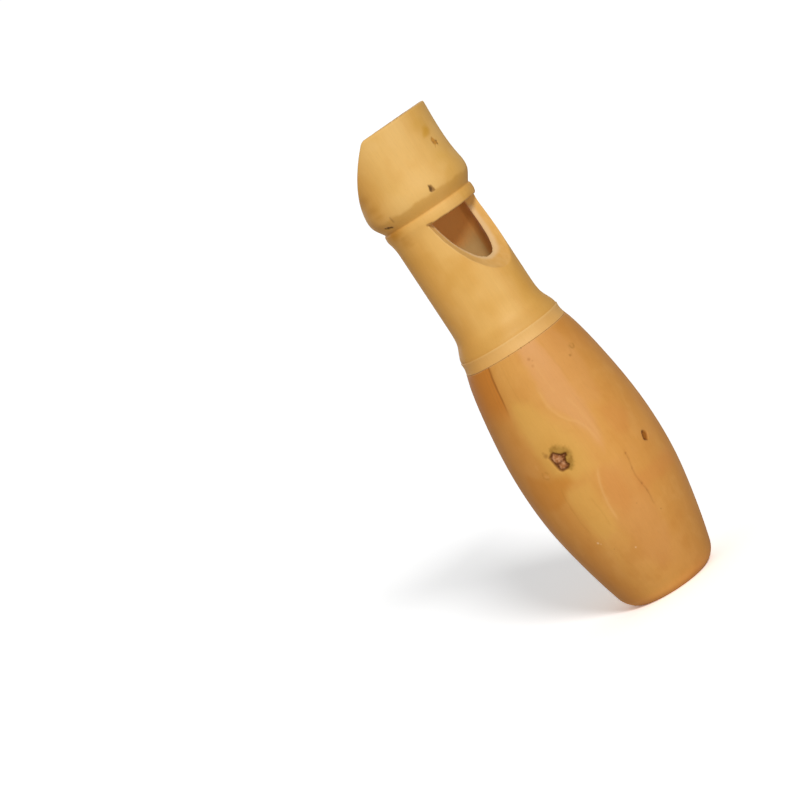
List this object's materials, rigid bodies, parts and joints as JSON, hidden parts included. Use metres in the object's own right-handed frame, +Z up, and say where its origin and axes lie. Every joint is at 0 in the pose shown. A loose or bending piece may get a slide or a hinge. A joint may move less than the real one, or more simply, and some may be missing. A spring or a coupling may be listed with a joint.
{
  "type": "bird call",
  "caption": "Turned wooden owl-type bird call: a beaked fipple whistle head with a scooped window, pushed by a lapped tenon into a closed pear-shaped resonator body.",
  "frame": {"origin": "centre of the flat base of the resonator body", "axes": "+Z up along the whistle's axis from the base to the mouth end; -Y is the side that the window faces and +Y the side of the slanting beak cut"},
  "size_m": [0.0382, 0.0382, 0.135],
  "materials": {
    "boxwood": "waxed satin",
    "block_wood": "bare, lightly oiled",
    "waxed_thread": "waxed",
    "fruitwood": "waxed satin"
  },
  "bodies": {
    "body": {"resonator_body": "fruitwood"},
    "head": {"mouthpiece_head": "boxwood", "fipple_block": "block_wood", "tenon_lapping": "waxed_thread"}
  },
  "joints": [
    {"name": "head_pull", "type": "slide", "parent": "body", "child": "head", "axis": [0, 0, 1], "range_m": [0, 0.02]}
  ]
}
